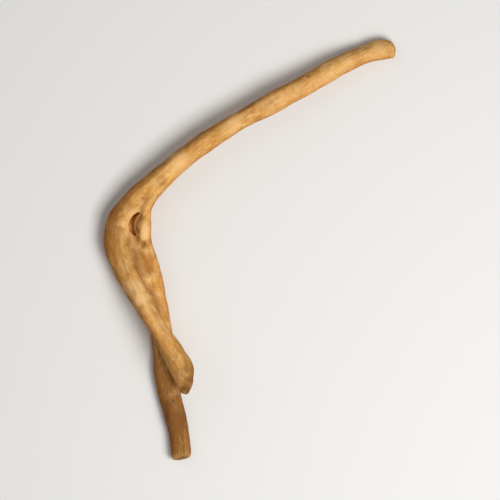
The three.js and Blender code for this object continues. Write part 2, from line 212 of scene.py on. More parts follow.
def nearest_spans(limb, p):
    """The nearest span of a limb to each point, from all of its spans."""
    nearest = np.full(len(p), np.inf)
    index = np.zeros(len(p), int)
    for i in range(len(limb.span)):
        square = span_gap(limb, p, i)[2]
        closer = square < nearest
        nearest[closer] = square[closer]
        index[closer] = i
    return index


def section(limb, p, index):
    """Distance from a limb's surface and the point's place in the limb, near the given spans.

    Updates index in place. The place is (length, sideways, upward) from the limb's start and axis.
    """
    best_t, best_out, best = span_gap(limb, p, index)
    centre = index.copy()
    for offset in (-1, 1):
        i = np.clip(centre + offset, 0, len(limb.span) - 1)
        t, out, square = span_gap(limb, p, i)
        closer = square < best
        best_t[closer], best_out[closer], best[closer] = t[closer], out[closer], square[closer]
        index[closer] = i[closer]
    t = best_t

    def between(values):
        share = t if values.ndim == 1 else t[:, None]
        return values[index] * (1 - share) + values[index + 1] * share

    length = between(limb.length)
    sideways = dot(best_out, between(limb.side))
    upward = dot(best_out, between(limb.up))
    angle = np.arctan2(sideways, upward)
    scale = np.ones(len(p))
    for count, height, phase, turn in LOBES:
        scale += height * np.cos(count * (angle + turn * length) + phase)
    for height, pitch, phase in SWELLS:
        scale += height * np.sin(2 * math.pi * length / (pitch * MM) + phase)
    distance = np.sqrt(best) - between(limb.radius) * scale
    place = np.stack([length, sideways, upward], axis=1)
    return distance, place, between(limb.grain_shift)


def smooth_union(a, b, blend):
    near = np.maximum(blend - np.abs(a - b), 0) / blend
    return np.minimum(a, b) - near * near * blend / 4


def smooth_intersection(a, b, blend):
    return -smooth_union(-a, -b, blend)


def cut_distance(cut, p):
    at, faces, _ = cut
    return (p - np.array(at) * MM) @ unit(np.array(faces))


def trimmed(distance, cut, p):
    """The wood cut off at a worn end, with a rounded rim."""
    return smooth_intersection(distance, cut_distance(cut, p), cut[2] * MM)


def eye_distance(p):
    """Distance from the walls and floor of the leaning pocket, positive inside it."""
    drop = EYE_MOUTH - p[:, 2:]
    flat = p[:, :2] - np.array(EYE_LEAN) * drop
    walls = np.full(len(p), -np.inf)
    rows = np.array(EYE) * MM
    for a, b in zip(rows, rows[1:]):
        u = (b - a)[:2]
        v = flat - a[:2]
        t = np.clip(v @ u / (u @ u), 0, 1)
        half = a[2] * (1 - t) + b[2] * t
        walls = np.maximum(walls, half - np.linalg.norm(v - t[:, None] * u, axis=1))
    return smooth_union(walls, p[:, 2] - EYE_FLOOR, EYE_FLOOR_BLEND)


MAIN = Limb(MAIN_LIMB)
SECOND = Limb(SECOND_LIMB)
FUSED = Limb(WEB)
LIMBS = (MAIN, SECOND, FUSED)


def nearest_in_all(p):
    return [nearest_spans(limb, p) for limb in LIMBS]


def wood_distance(p, near):
    """Distance from the surface of the whole branch, negative inside the wood."""
    main = trimmed(trimmed(section(MAIN, p, near[0])[0], TIP_CUT, p), TIP_CORNER, p)
    second = trimmed(section(SECOND, p, near[1])[0], BACK_CUT, p)
    fade = smoothstep(*BLEND_FADES, p[:, 1])
    blend = CROSSING_BLEND + (FORK_BLEND - CROSSING_BLEND) * fade
    distance = smooth_union(main, second, blend)
    distance = smooth_union(distance, section(FUSED, p, near[2])[0], blend)
    for *at, reach, height in np.array(LUMPS) * MM:
        off = p - at
        distance -= height * np.exp(-dot(off, off) / reach**2)
    return smooth_intersection(distance, eye_distance(p), EYE_LIP)


# Seeded noise that is the same on every run

def lattice(cells, seed):
    """A number from -1 to 1 for each whole cell of an endless grid."""
    x, y, z = cells.astype(np.uint32).T
    h = x * np.uint32(374761393) + y * np.uint32(668265263) + z * np.uint32(2246822519)
    h += np.uint32(seed * 3266489917 & 0xFFFFFFFF)
    h ^= h >> np.uint32(15)
    h *= np.uint32(2654435761)
    h ^= h >> np.uint32(13)
    h *= np.uint32(3266489917)
    h ^= h >> np.uint32(16)
    return h / 2147483648.0 - 1.0


def noise(p, seed):
    """Smooth noise from -1 to 1 at each row of p, one wave to a unit."""
    cell = np.floor(p).astype(np.int64)
    share = p - cell
    share = share * share * (3 - 2 * share)
    total = np.zeros(len(p))
    for corner in range(8):
        step = np.array([corner & 1, corner >> 1 & 1, corner >> 2 & 1])
        weight = np.where(step, share, 1 - share).prod(1)
        total += weight * lattice(cell + step, seed)
    return total


def layered(p, layers):
    """Sum of layers of noise: wave along and across the grain, seed, strength."""
    total = 0.0
    for along, across, seed, strength in layers:
        total = total + strength * noise(p / (MM * np.array([along, across, across])), seed)
    return total


# Drawing the skin of the wood

CORNERS = np.array([[c & 1, c >> 1 & 1, c >> 2 & 1] for c in range(8)])
EDGES = [(c, c | bit) for c in range(8) for bit in (1, 2, 4) if not c & bit]
COARSE = 4  # cells along each side of a block that is looked at first
CLOSE_BLOCK = 1.1  # blocks are filled in where the surface is nearer than this many blocks
GRID_MARGIN = 6 * MM
FREE_PASSES = 6
SETTLE_PASSES = 60
SETTLED = 0.02 * MM
EVENINGS = ((8, 0.6), (3, 0.5))  # passes and share, before and after the faces are split
PULL_LIMIT = 0.5 * MM


def grouped(count, pairs):
    """Number of the group that each item belongs to, where each pair holds two items together."""
    group = np.arange(count)
    while True:
        least = np.minimum(group[pairs[:, 0]], group[pairs[:, 1]])
        joined = group.copy()
        np.minimum.at(joined, pairs[:, 0], least)
        np.minimum.at(joined, pairs[:, 1], least)
        joined = joined[joined]
        if (joined == group).all():
            return group
        group = joined


def crosses_twice(code):
    """Whether the surface would pass more than once through a cell with these corners inside."""
    inside = [code >> c & 1 for c in range(8)]
    same_side = [(c, c) for c in range(8)] + [edge for edge in EDGES if inside[edge[0]] == inside[edge[1]]]
    if len(np.unique(grouped(8, np.array(same_side)))) > 2:
        return True
    for a, b in ((1, 2), (1, 4), (2, 4)):
        for c in range(8):
            if not c & (a | b) and inside[c] == inside[c | a | b] != inside[c | a] == inside[c | b]:
                return True
    return False


TWICE = np.array([crosses_twice(code) for code in range(256)])


def refined(block):
    """Each value of a block repeated for all the cells that it stands for."""
    for axis in range(3):
        block = np.repeat(block, COARSE, axis=axis)
    return block


def fill_grid(cell):
    """Distances at the corners of a grid of cells round the branch, exact near the surface."""
    reach = np.concatenate([limb.radius for limb in LIMBS]) + GRID_MARGIN
    at = np.vstack([limb.at for limb in LIMBS])
    low = (at - reach[:, None]).min(0)
    high = (at + reach[:, None]).max(0)
    blocks = np.ceil((high - low) / (cell * COARSE)).astype(int)
    coarse_index = np.stack(np.meshgrid(*[np.arange(n + 1) for n in blocks], indexing="ij"), -1)
    coarse_points = low + coarse_index.reshape(-1, 3) * cell * COARSE
    coarse = wood_distance(coarse_points, nearest_in_all(coarse_points)).reshape(blocks + 1)
    nearest = np.min([np.abs(corner_block(coarse, corner)) for corner in range(8)], axis=0)
    close = refined(nearest < cell * COARSE * CLOSE_BLOCK)
    values = refined(coarse[:-1, :-1, :-1])
    points = low + np.argwhere(close) * cell
    values[close] = wood_distance(points, nearest_in_all(points))
    return low, values


def corner_block(values, corner):
    """The grid's values at one corner of every cell."""
    nx, ny, nz = (n - 1 for n in values.shape)
    dx, dy, dz = CORNERS[corner]
    return values[dx : nx + dx, dy : ny + dy, dz : nz + dz]


def cell_codes(values):
    code = np.zeros([n - 1 for n in values.shape], np.uint8)
    for corner in range(8):
        code |= (corner_block(values, corner) < 0).astype(np.uint8) << corner
    return code


def settle_grid(values):
    """Clears or fills the corner nearest the surface in each cell that it would cross twice."""
    for turn in range(SETTLE_PASSES):
        cells = np.argwhere(TWICE[cell_codes(values)])
        if not len(cells):
            return
        places = cells[:, None, :] + CORNERS
        found = values[tuple(places.transpose(2, 0, 1))]
        if turn < FREE_PASSES:
            pick = np.abs(found).argmin(1)
        else:
            pick = np.where(found > 0, found, np.inf).argmin(1)
        rows = np.arange(len(cells))
        chosen = places[rows, pick]
        sign = np.where(found[rows, pick] < 0, 1.0, -1.0)
        values[tuple(chosen.T)] = sign * SETTLED
    raise RuntimeError("the wood's surface would pass through itself")


def draw_surface(cell):
    """The skin of the wood as points and four-sided faces, one point in each cell it crosses."""
    low, values = fill_grid(cell)
    settle_grid(values)
    code = cell_codes(values)
    cells = np.argwhere((code != 0) & (code != 255))
    number = np.full(code.shape, -1)
    number[tuple(cells.T)] = np.arange(len(cells))
    corner_values = values[tuple((cells[:, None, :] + CORNERS).transpose(2, 0, 1))]
    total = np.zeros((len(cells), 3))
    crossings = np.zeros(len(cells))
    for a, b in EDGES:
        va, vb = corner_values[:, a], corner_values[:, b]
        crossed = (va < 0) != (vb < 0)
        share = np.where(crossed, va / np.where(crossed, va - vb, 1.0), 0.0)
        point = CORNERS[a] + share[:, None] * (CORNERS[b] - CORNERS[a])
        total += np.where(crossed[:, None], point, 0.0)
        crossings += crossed
    points = low + (cells + total / crossings[:, None]) * cell
    faces = []
    steps = np.eye(3, dtype=int)
    for axis in range(3):
        one, two = steps[(axis + 1) % 3], steps[(axis + 2) % 3]
        change = np.diff((values < 0).astype(np.int8), axis=axis)
        for sign in (-1, 1):
            edges = np.argwhere(change == sign)
            ring = [number[tuple((edges - back).T)] for back in (0 * one, one, one + two, two)]
            faces.append(np.stack(ring[::-sign], axis=1))
    return points, np.vstack(faces)


def spread(index, rows, count):
    """Sum of rows that share an index."""
    return np.stack([np.bincount(index, column, count) for column in rows.T], axis=1)


def point_normals(points, faces):
    """Directions out of the wood, each face counted by its area."""
    a, b, c, d = (points[column] for column in faces.T)
    across = np.cross(c - a, d - b)
    return unit(spread(faces.ravel(), np.repeat(across, 4, axis=0), len(points)))


def edge_pairs(faces):
    """The two points of each edge, and the number of the edge at each side of each face."""
    ends = np.sort(np.stack([faces, np.roll(faces, -1, axis=1)], axis=2).reshape(-1, 2), axis=1)
    pairs, which = np.unique(ends, axis=0, return_inverse=True)
    return pairs, which.reshape(-1, 4)


def even_out(points, faces, passes, share):
    """Moves each point towards the middle of its neighbours and back onto the wood."""
    pairs = edge_pairs(faces)[0]
    both = np.concatenate([pairs[:, 0], pairs[:, 1]])
    other = np.concatenate([pairs[:, 1], pairs[:, 0]])
    neighbours = np.bincount(both, minlength=len(points))[:, None]
    near = nearest_in_all(points)
    for _ in range(passes):
        middle = spread(both, points[other], len(points)) / neighbours
        points = points + share * (middle - points)
        points = pull_to_surface(points, faces, near)
    return pull_to_surface(points, faces, near)


def pull_to_surface(points, faces, near):
    normals = point_normals(points, faces)
    step = np.clip(wood_distance(points, near), -PULL_LIMIT, PULL_LIMIT)
    return points - normals * step[:, None]


def split_faces(points, faces):
    """Each four-sided face as four smaller ones."""
    count = len(points)
    pairs, which = edge_pairs(faces)
    middles = points[pairs].mean(1)
    centres = points[faces].mean(1)
    edge_points = count + which
    centre_points = count + len(pairs) + np.arange(len(faces))
    small = [
        np.stack([faces[:, k], edge_points[:, k], centre_points, edge_points[:, k - 1]], axis=1)
        for k in range(4)
    ]
    return np.vstack([points, middles, centres]), np.vstack(small)


# Grain, knots and checks of the wood

GRAIN_SOFTNESS = 1.2 * MM
PITH = (1.1 * MM, -0.7 * MM)  # sideways and up from the limb's axis
LOWER_FORK_Y = -30 * MM


def join_grain():
    """Shifts the second limb's grain so that it runs on from the main limb's grain at the fork."""
    near = nearest_spans(MAIN, SECOND.at)
    place = section(MAIN, SECOND.at, near)[1]
    shift = place - np.stack([SECOND.length, 0 * SECOND.length, 0 * SECOND.length], axis=1)
    parted = SECOND.at[:, 1] < LOWER_FORK_Y
    shift[parted] = shift[~parted][-1]
    SECOND.grain_shift = shift


# Layers of the uneven surface: wave along and across the grain, seed, strength
SWELL = ((22, 9.5, 11, 1),)
FURROWS = ((34, 2.7, 12, 1), (19, 1.6, 13, 0.6))
FIBRES = ((11, 1.25, 14, 1),)
DENTS = ((5.2, 5.2, 15, 1), (2.7, 2.7, 16, 0.5))
RING_WOBBLE = ((6.5, 6.5, 17, 1.3 * MM), (2.2, 2.2, 18, 0.4 * MM))
RING_FADING = ((3, 3, 19, 1),)
FURROW_SHARE, FIBRE_SHARE = 0.4, 0.2  # in the mark that tints the furrows
DENT_TOP = 0.35
END_RIM = 1.2 * MM

# Small knots: centre, radius, depth, darkness
KNOTS = (
    (77.9, 136.1, 13, 2.1, 0.26, 0.5),
    (38.9, 116.5, 19.5, 2, 0.24, 0.5),
    (-71.4, 3.8, 19, 2.5, 0.75, 0.6),
    (-29, 77.5, 23.5, 1.4, 0.18, 0.5),
    (-94.5, 16.5, 14, 1.8, 0.22, 0.6),
    (-52, -101, 13.5, 1.8, 0.3, 0.6),
    (6, 87, 13, 2, 0.28, 0.7),
    (-80, 2, 1, 2.2, 0.3, 0.8),
)

# Shape of a knot in shares of its radius, and its lip's height as a share of its depth
KNOT_PIT = 0.55
LIP_PLACE, LIP_WIDTH, LIP_HEIGHT = 1.35, 0.4, 0.35
KNOT_STAIN = (1.15, 0.35)

# Drying checks, darkened with painted shade: limb, start and end length, angle from the top, sway, half
# width, depth
CHECKS = (
    (0, -12, 19, 0.95, 0.06, 0.36, 0.3),
    (0, -12, 26, 2.35, 0.06, 0.42, 0.6),
    (0, -12, 12, -1.3, 0.1, 0.36, 0.25),
    (0, 22, 58, 1.12, 0.07, 0.36, 0.24),
    (0, 104, 137, 0.82, 0.06, 0.36, 0.2),
    (0, 149, 170, -0.42, 0.07, 0.36, 0.14),
    (0, 150, 200, 2.8, 0.08, 0.42, 0.45),
    (0, 232, 262, 0.95, 0.05, 0.4, 0.22),
    (0, 262, 290, 1.45, 0.04, 0.4, 0.32),
    (0, 330, 352, 0.3, 0.06, 0.36, 0.14),
    (1, 105, 140, 0.45, 0.07, 0.38, 0.18),
    (1, 176, 230, -0.35, 0.07, 0.42, 0.3),
    (1, 186, 230, 1.9, 0.1, 0.38, 0.26),
    (1, 90, 135, 2.6, 0.08, 0.42, 0.45),
)
CHECK_SWAY_WAVE = 11
CHECK_SEED = 40
CHECK_OPENING, CHECK_CLOSING = 0.105, 0.35  # shares of the length over which a check opens and closes
CHECK_OWNER = (0.6, 0.9)
# The painted shade in a check grows with its depth
FULLY_DARK = 0.5  # depth from which a check is fully dark

# Creases of the upper side, darkened with painted shade: half width, depth, darkness, and the places that
# they run through
CREASES = (
    (2.1, 0.85, 0.54, (  # between the knee and the second limb, down to the lower fork
        (-79, 1), (-76.8, -4.3), (-74.7, -11.4), (-72.7, -16.5), (-70.2, -22.5),
        (-66.8, -29.5))),
    (1.2, 1.3, 0.7, (  # the narrow groove along the middle of it
        (-77.6, -4), (-76.2, -8.8), (-74.8, -12.2), (-73.4, -15.5), (-70.2, -22.3),
        (-66.6, -29.6))),
    (1, 0.4, 0.45, ((-75.2, 24.5), (-73.3, 28.5), (-70.5, 31.6), (-66.8, 34.5))),
    (1, 0.35, 0.42, ((-73.5, 35), (-70.6, 34.1), (-67.2, 34.8), (-64.5, 37.2))),
    (0.9, 0.3, 0.38, ((-71.8, 32.2), (-69, 32.8), (-66.4, 35.2))),
    (0.9, 0.25, 0.35, ((-77.2, 29.6), (-75.6, 30.4), (-74.2, 30))),
    (1.1, 0.3, 0.38, ((-88.2, 29), (-86.6, 27.8), (-85.5, 26.2))),
    (0.9, 0.25, 0.32, ((-90.5, 16.3), (-88, 15.6), (-86, 16))),
    (0.8, 0.3, 0.32, ((-74.1, 24.2), (-72.8, 22.5), (-72.9, 20.6))),
    # Mostly painted shade along the eye's inner edge, with little depth
    (1.2, 0.1, 0.5, (  # the inner edge of the eye
        (-75.7, 22), (-76.5, 19.5), (-76.8, 17.2), (-76.5, 14.6), (-75.3, 11.8))),
    (0.9, 0.3, 0.35, ((-75.2, 9), (-73.8, 6.6), (-72.6, 5))),
    (0.9, 0.3, 0.3, ((-86.2, -6), (-83.8, -12.5), (-81.2, -18))),
    (0.8, 0.25, 0.35, ((-66, -18), (-64.8, -25), (-63.2, -33))),
    # A painted shadow of the front limb on the second limb, with little depth
    (2.2, 0.2, 0.46, (  # on the second limb, beside the front limb
        (-68.4, -22.5), (-65.6, -27.5), (-62.4, -33.5), (-58.6, -40.5), (-55, -47.5))),
)

CREASE_END = 0.35  # width at a crease's ends, as a share of its full width
DROP_FROM = 45 * MM
DROP_PASSES = 60
DROP_SHARE = 0.7

# Orange-brown stains of the upper side: place, reach, strength
STAINS = (
    (-69.4, -9.1, 6.2, 0.95), (-71.2, -5, 4.5, 0.7), (-75, -6, 5, 0.6), (-71.3, 3.8, 3.6, 0.8),
    (-73.2, 21.5, 3.4, 0.75), (-78.1, 17.2, 3.4, 0.75), (-92, 25, 6, 0.6), (-94.5, 6, 7, 0.45),
    (-88, -6, 6.5, 0.6), (90.5, 135, 6, 0.35), (74, 129, 6, 0.3), (-56, -61, 8, 0.35),
    (-52, -118, 13, 0.5), (-70, 35, 5, 0.45), (-61, 52, 7, 0.25), (-35, 66, 8, 0.35),
    (13, 99, 7, 0.35), (34, 108, 6, 0.18),
)

# Pale patches where the upper side is worn to clean wood, and painted highlights: place, reach, strength
WORN_AND_LIT_PATCHES = (
    (-70.6, 14.5, 4.2, 0.95), (-70.6, 9.5, 3.8, 0.85), (-74.2, 10.4, 2.6, 0.7), (-65.5, 33, 3.6, 0.35),
    (-76.5, -24, 7, 1.0), (-72.2, -32, 6, 0.95), (-72.8, -19.5, 3.6, 0.8), (-82.2, -26.5, 5, 0.7),
    (-66.8, -37.5, 4.5, 0.7), (-73.7, 15.8, 3.3, 0.95), (-80, 23.5, 5.5, 0.45), (-84, 12, 6, 0.35),
    (-60.6, -49.5, 5.5, 0.55), (-10, 84.5, 8, 0.6), (-48, 58, 8, 0.55), (14, 98, 8, 0.6),
    (55, 119, 8, 0.5), (88, 136.2, 8.5, 0.6), (64, 128.5, 6.5, 0.6), (76.5, 134.5, 5.5, 0.55),
    (-84.2, -10.5, 5.5, 0.55), (-86.8, 18.5, 4.5, 0.35), (-69, -2, 4, 0.45), (-61.2, 46.5, 3.2, 0.45),
    (-39.5, 59, 4, 0.45), (-57, -57.5, 4.8, 0.5), (28.5, 107, 4.8, 0.5), (-61.5, 54, 3.6, 0.35),
    (-74.2, -24.8, 5, 1.45), (-45.2, -83.5, 4, 0.5),
)

# Duller, browner patches of the upper side, partly the wood's own tone and partly painted shade: place,
# reach, strength
DULL_AND_SHADE_PATCHES = (
    (-92.5, 12, 7.5, 0.7), (-91.2, 23.5, 7, 0.8), (-92.8, -1, 7, 0.6), (-75.5, -5, 5.5, 0.9),
    (-74.4, -10.8, 5.2, 1.0), (-70, -12, 6, 1.0), (-66, -5, 4, 0.4), (-80.6, 4, 5.2, 0.6),
    (-45.5, -86, 8, 0.6), (-42.5, -94.5, 7, 1.0), (-39.8, -77.5, 7.5, 0.75), (-40, -88, 6, 0.85),
    (-44.5, -68, 6, 0.5), (-52, -73, 7, 0.4), (-59, 47, 4, 0.4), (5.5, 88.2, 3.6, 0.45),
    (-82.5, 30, 5, 0.45),
)

# Patches of painted shade, deep brown, on the club's turned-away side and the back limb's end: place, reach,
# strength
SHADE_PATCHES = (
    (-50.5, -115, 12.5, 0.62), (-41.8, -92.5, 5.8, 0.58), (-52, -80.5, 4.5, 0.25), (-38.3, -80, 4.4, 0.45),
    (-38.4, -85.8, 4.8, 0.6),
)
STAIN_SEED, WORN_AND_LIT_SEED, DULL_AND_SHADE_SEED, SHADE_SEED = 50, 60, 70, 80
PATCH_RAGGEDNESS = 0.45
PATCH_WAVES = (4.5, 1.8)
PATCH_RIM, PATCH_HEART = 1.5, 0.3  # shares of the reach where a patch starts and is full

# Painted shade in hollows and sheltered places, as how little the wood opens out one step away from its
# surface, and crests
CREVICE_STEP = 2.6 * MM
SHELTER_STEP = 6.5 * MM
CREST_STEP = 2.2 * MM
OPEN = 1.02
CREST_SOLID = (0.97, 0.72)

# Painted shade on flanks, darkest on the side turned away from the light: which way they face and where they
# fade, with the strength of each
SHADED_SIDE = (-0.74, 0.67, 0.0)
SIDE_TURN, SIDE_SHADE = (0.12, 0.68), 0.90
STEEPNESS, STEEP_SHADE = (0.85, 0.25), 0.45
TIP_FADES, TIP_FADING = (25 * MM, 65 * MM), 0.85
# Where the back limb turns duller and takes painted shade towards its end
DULL_AND_SHADE_FADES = (-30 * MM, -105 * MM)

# How far worn wood, with its painted highlights, and the eye's walls clear the painted shade of flanks,
# sheltered places and crevices
WORN_AND_LIT_CLEARS = (0.6, 0.7)
EYE_CLEARS = (1, 0.8, 0.5)
EYE_WALL = (-1.4 * MM, -0.2 * MM)
EYE_WALL_TURN = (0.25, -0.25)
# The eye's walls that face left, away from the light, are painted paler: painted light
EYE_WALL_PAINTED_LIGHT = 0.25


def grain_places(points, near):
    """Where each point lies in the grain, how far from the pith, and the limbs' own places."""
    main_gap, main_place, _ = section(MAIN, points, near[0])
    second_gap, second_place, shift = section(SECOND, points, near[1])
    main_share = 1 / (1 + np.exp(np.clip((main_gap - second_gap) / GRAIN_SOFTNESS, -30, 30)))
    share = main_share[:, None]
    place = share * main_place + (1 - share) * (second_place + shift)
    from_pith = [np.hypot(*(own[:, 1:] - PITH).T) for own in (main_place, second_place)]
    pith = main_share * from_pith[0] + (1 - main_share) * from_pith[1]
    return place, pith, (main_gap, second_gap), (main_place, second_place), main_share


def end_wood(points, gaps):
    """One on the cut faces of the two worn ends, and nought on the sides of the limbs."""
    tip = np.maximum(cut_distance(TIP_CUT, points), cut_distance(TIP_CORNER, points)) - gaps[0]
    back = cut_distance(BACK_CUT, points) - gaps[1]
    return np.clip(np.maximum(tip, back) / END_RIM, 0, 1)


def check_marks(places, main_share):
    """Depth of the drying checks, and how dark their painted shade is."""
    depth = np.zeros(len(main_share))
    dark = np.zeros(len(main_share))
    for row, (limb, start, end, turn, sway, half_width, deep) in enumerate(CHECKS):
        length, sideways, upward = places[limb].T / MM
        drift = np.stack([length / CHECK_SWAY_WAVE, 0 * length, 0 * length], axis=1)
        angle = np.arctan2(sideways, upward) - turn - sway * noise(drift, CHECK_SEED + row)
        angle = (angle + math.pi) % (2 * math.pi) - math.pi
        across = np.hypot(sideways, upward) * angle
        opened = smoothstep(start, start + CHECK_OPENING * (end - start), length)
        closed = smoothstep(end - CHECK_CLOSING * (end - start), end, length)
        owner = smoothstep(*CHECK_OWNER, main_share if limb == 0 else 1 - main_share)
        mark = np.exp(-((across / half_width) ** 2)) * opened * (1 - closed) * owner
        depth += deep * MM * mark
        dark = np.maximum(dark, mark * min(deep / FULLY_DARK, 1))
    return depth, dark


def drop_onto_wood(flat):
    """The places on the upper side of the wood that lie under these places in the view from above."""
    places = np.column_stack([flat, np.full(len(flat), DROP_FROM)])
    near = nearest_in_all(places)
    for _ in range(DROP_PASSES):
        places[:, 2] -= DROP_SHARE * wood_distance(places, near)
        near = nearest_in_all(places)
    return places


def crease_marks(points):
    """Depth of the creases, and how dark their painted shade is."""
    depth = np.zeros(len(points))
    dark = np.zeros(len(points))
    for half_width, deep, darkness, flat in CREASES:
        line = drop_onto_wood(np.array(flat) * MM)
        gap = np.full(len(points), np.inf)
        for place, (a, b) in enumerate(zip(line, line[1:])):
            u = b - a
            t = np.clip((points - a) @ u / (u @ u), 0, 1)
            along = (place + t) / (len(line) - 1)
            width = CREASE_END + (1 - CREASE_END) * np.sqrt(np.clip(4 * along * (1 - along), 0, 1))
            gap = np.minimum(gap, np.linalg.norm(points - a - t[:, None] * u, axis=1) / width)
        mark = np.exp(-((gap / (half_width * MM)) ** 2))
        depth = np.maximum(depth, deep * MM * mark)
        dark = np.maximum(dark, darkness * mark)
    return depth, dark


def patch_marks(points, patches, seed):
    """Strength of the ragged patches at each point."""
    wide, narrow = PATCH_WAVES
    layers = ((wide, wide, seed, 1), (narrow, narrow, seed + 1, 0.5))
    ragged = 1 + PATCH_RAGGEDNESS * layered(points, layers)
    total = np.zeros(len(points))
    centres = drop_onto_wood(np.array(patches)[:, :2] * MM)
    for centre, (_, _, reach, strength) in zip(centres, patches):
        gap = np.linalg.norm(points - centre, axis=1) * ragged / (reach * MM)
        total = np.maximum(total, strength * smoothstep(PATCH_RIM, PATCH_HEART, gap))
    return total


def knot_marks(points):
    """Height of the small knots, with a low lip round each, and how dark they are."""
    height = np.zeros(len(points))
    dark = np.zeros(len(points))
    for *at, radius, deep, darkness in KNOTS:
        gap = np.linalg.norm(points / MM - at, axis=1) / radius
        pit = np.exp(-((gap / KNOT_PIT) ** 2))
        lip = LIP_HEIGHT * np.exp(-(((gap - LIP_PLACE) / LIP_WIDTH) ** 2))
        height += deep * MM * (lip - pit)
        dark = np.maximum(dark, darkness * smoothstep(*KNOT_STAIN, gap))
    return height, dark


def openness(points, directions, step, near=None):
    """How far the wood is from each point moved by one step, as a share of the step."""
    away = points + step * directions
    near = [index.copy() for index in near] if near else nearest_in_all(away)
    return wood_distance(away, near) / step


def dress_surface(shape, points, faces):
    """Raises the grain, knots and checks, and returns the points with the marks the finish needs, painted
    shade and painted light among them.
    """
    near = nearest_in_all(points)
    normals = point_normals(points, faces)
    place, pith, gaps, places, main_share = grain_places(points, near)
    ends = end_wood(points, gaps)
    sides = 1 - ends
    # Painted shade in crevices and sheltered places, from how closed in each point is
    crevice = np.clip(OPEN - openness(points, normals, CREVICE_STEP, near), 0, 1)
    shelter_shade = np.clip(OPEN - openness(points, normals, SHELTER_STEP), 0, 1)
    solid = -openness(points, -normals, CREST_STEP, near)
    crest = np.clip((CREST_SOLID[0] - solid) / (CREST_SOLID[0] - CREST_SOLID[1]), 0, 1)
    swell, furrow, fine = [layered(place, layers) for layers in (SWELL, FURROWS, FIBRES)]
    dents, wobble, fading = [layered(points, layers) for layers in (DENTS, RING_WOBBLE, RING_FADING)]
    dents = np.minimum(dents, DENT_TOP)
    rings = 0.5 + 0.5 * np.cos(2 * math.pi * (pith + wobble) / shape.ring_pitch)
    rings *= 0.5 + 0.5 * fading
    check_depth, check_dark = check_marks(places, main_share)
    knot_height, knot_dark = knot_marks(points)
    crease_depth, crease_dark = crease_marks(points)
    height = shape.swell_height * swell + knot_height - check_depth * shape.check_strength - crease_depth
    height += sides * (shape.furrow_depth * furrow + shape.grain_depth * fine + shape.dent_depth * dents)
    height -= ends * shape.ring_depth * rings
    stain = patch_marks(points, STAINS, STAIN_SEED)
    # Worn patches carry painted highlights, dull patches are partly painted shade, and shade patches are
    # painted shade
    worn = patch_marks(points, WORN_AND_LIT_PATCHES, WORN_AND_LIT_SEED)
    dull_and_shade = patch_marks(points, DULL_AND_SHADE_PATCHES, DULL_AND_SHADE_SEED)
    painted_shade = patch_marks(points, SHADE_PATCHES, SHADE_SEED)
    # Painted shade on steep flanks and on the side turned from the light, fading towards the tip
    shaded_side = smoothstep(*SIDE_TURN, np.clip(normals @ SHADED_SIDE, 0, 1))
    fade = 1 - TIP_FADING * smoothstep(*TIP_FADES, points[:, 0])
    flank_shade = STEEP_SHADE * smoothstep(*STEEPNESS, normals[:, 2]) + SIDE_SHADE * fade * shaded_side
    # The eye is cleared of painted shade, and its walls facing left are painted paler as painted light
    eye = smoothstep(*EYE_WALL, eye_distance(points))
    flank_shade = np.clip(flank_shade, 0, 1) * (1 - EYE_CLEARS[0] * eye) * (1 - WORN_AND_LIT_CLEARS[0] * worn)
    shelter_shade = shelter_shade * (1 - EYE_CLEARS[1] * eye) * (1 - WORN_AND_LIT_CLEARS[1] * worn)
    eye = eye * smoothstep(*EYE_WALL_TURN, normals[:, 0])
    crevice = crevice * (1 - EYE_CLEARS[2] * eye)
    worn = np.maximum(worn, EYE_WALL_PAINTED_LIGHT * eye)
    points = points + normals * height[:, None]
    points[:, 2] = np.maximum(points[:, 2], 0.0)
    marks = {
        "grain": place,
        "rings": ends * rings,
        "crevice": crevice,
        "crest": crest,
        "furrow": np.clip(0.5 + FURROW_SHARE * furrow + FIBRE_SHARE * fine, 0, 1),
        # The dark coat: painted shade of checks and shade patches, with the knots' own dark
        "dark": np.maximum(np.maximum(check_dark, knot_dark), painted_shade),
        "crease": crease_dark,
        "shelter_shade": shelter_shade,
        "flank_shade": flank_shade,
        "stain": stain,
        "worn": worn,
        "dull_and_shade": np.maximum(dull_and_shade, (1 - main_share) * smoothstep(*DULL_AND_SHADE_FADES, points[:, 1])),
    }
    return points, marks


# Parting the skin at the forks

# The limb and the row of its table that each piece is found by
PARTS = {
    "upper_limb": (MAIN, 5),
    "stem": (MAIN, 12),
    "front_limb": (MAIN, 18),
    "back_limb": (SECOND, 15),
}
SEAM_DEPTH = 2.5 * MM
ON_PLANE = 0.01 * MM


def parting_planes():
    """Point, normal and reach of each plane that parts the wood."""
    at, normal, reach = EYE_PART
    yield np.array(at) * MM, normal, reach * MM
    for limb, row in ((MAIN, FRONT_PART_ROW), (SECOND, BACK_PART_ROW)):
        sample = round(row * SPAN_STEPS)
        yield limb.at[sample], limb.along[sample], LIMB_PART_REACH


def store(mesh, name, values):
    kind = "FLOAT_VECTOR" if values.ndim == 2 else "FLOAT"
    field = "vector" if values.ndim == 2 else "value"
    layer = mesh.attributes.new(name, kind, "POINT")
    layer.data.foreach_set(field, values.astype(np.float32).ravel())


def read(items, field, kind=np.float32, width=1):
    """One field of all the items as an array."""
    values = np.zeros(len(items) * width, kind)
    items.foreach_get(field, values)
    return values.reshape(-1, width) if width > 1 else values


def fetch(mesh, name):
    layer = mesh.attributes[name]
    if layer.data_type == "FLOAT_VECTOR":
        return read(layer.data, "vector", width=3)
    return read(layer.data, "value")


